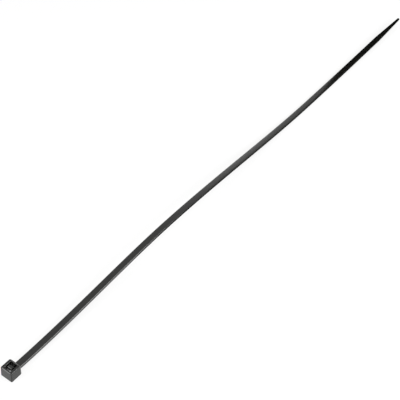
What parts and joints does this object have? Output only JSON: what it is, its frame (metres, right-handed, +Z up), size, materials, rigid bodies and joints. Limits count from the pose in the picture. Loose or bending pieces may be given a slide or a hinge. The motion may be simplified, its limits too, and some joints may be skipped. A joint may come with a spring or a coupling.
{
  "type": "cable tie",
  "caption": "One-piece moulded tie: a narrow toothed strap with a pointed tail and a square head whose sprung pawl locks the tail.",
  "frame": {"origin": "middle of the strap channel through the head, at the head's entry face, which lies on the ground", "axes": "+X along the strap from the head toward the tail, +Z up, out of the head's exit face"},
  "size_m": [0.3, 0.0052, 0.006],
  "materials": {
    "nylon": "satin"
  },
  "bodies": {
    "root": {"cable_tie": "nylon"}
  },
  "joints": []
}
